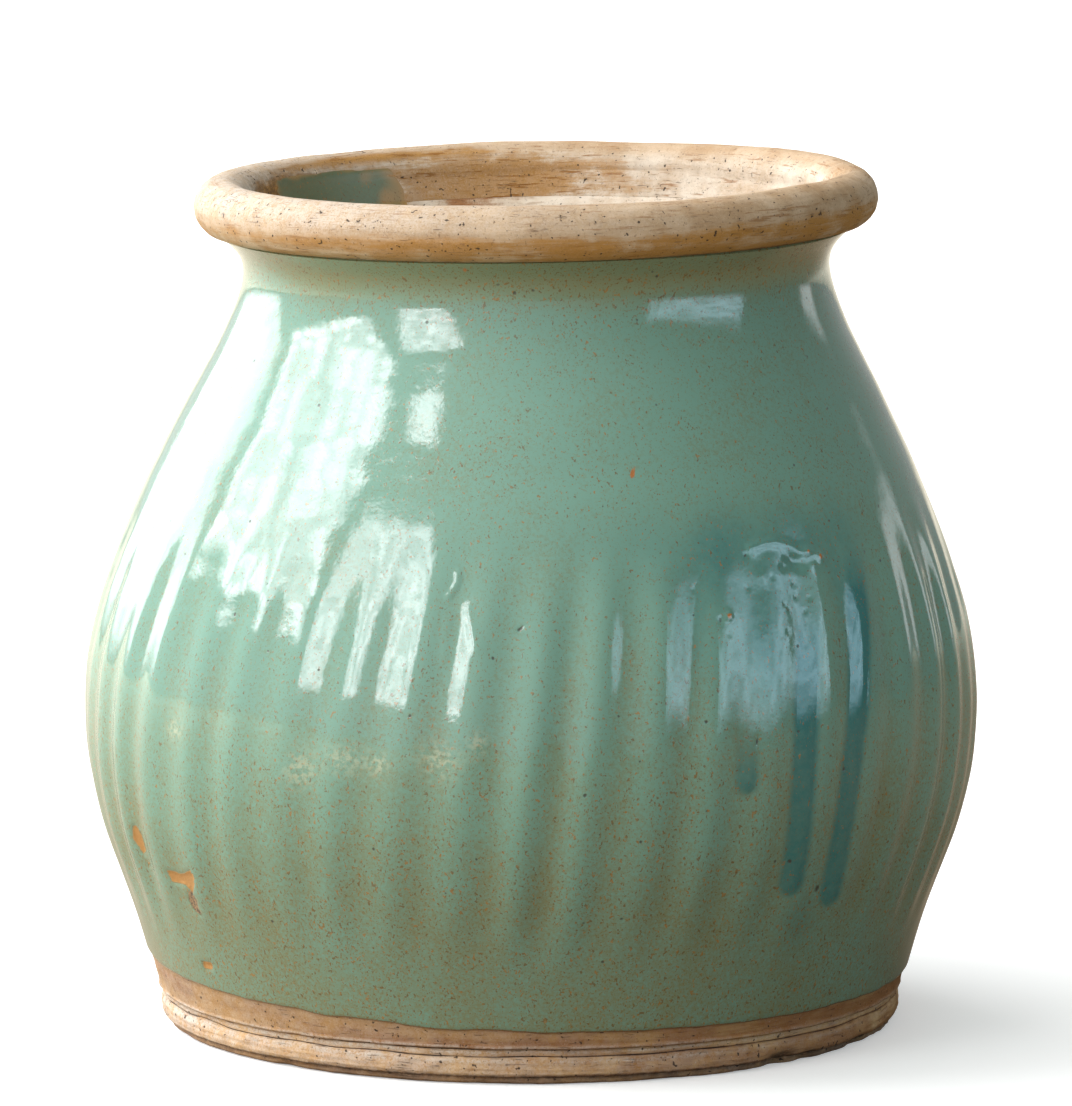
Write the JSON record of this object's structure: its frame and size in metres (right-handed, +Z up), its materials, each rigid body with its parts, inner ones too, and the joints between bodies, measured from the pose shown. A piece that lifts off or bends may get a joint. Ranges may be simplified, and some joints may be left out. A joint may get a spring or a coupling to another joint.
{
  "type": "glazed clay garden pot",
  "caption": "Round-bellied glazed clay pot with a bare rolled rim, a bare foot band and a flat foot, open at the mouth, for planting or for holding a liner pot.",
  "frame": {"origin": "on the ground under the middle of the foot", "axes": "+Z up along the pot's axis, +X to the right and -Y to the front, where the three glaze runs are to the right of the middle"},
  "size_m": [0.4192, 0.42, 0.4033],
  "materials": {
    "base_clay": "matte",
    "band_clay": "matte",
    "wall_clay": "matte",
    "rim_clay": "matte",
    "celadon_glaze": "gloss",
    "inner_glaze": "gloss",
    "turquoise_glaze": "gloss"
  },
  "bodies": {
    "root": {"base_slab": "base_clay", "foot_band": "band_clay", "wall": "wall_clay", "rim_roll": "rim_clay", "outer_glaze": "celadon_glaze", "inner_glaze": "inner_glaze", "glaze_run_1": "turquoise_glaze", "glaze_run_2": "turquoise_glaze", "glaze_run_3": "turquoise_glaze"}
  },
  "joints": []
}
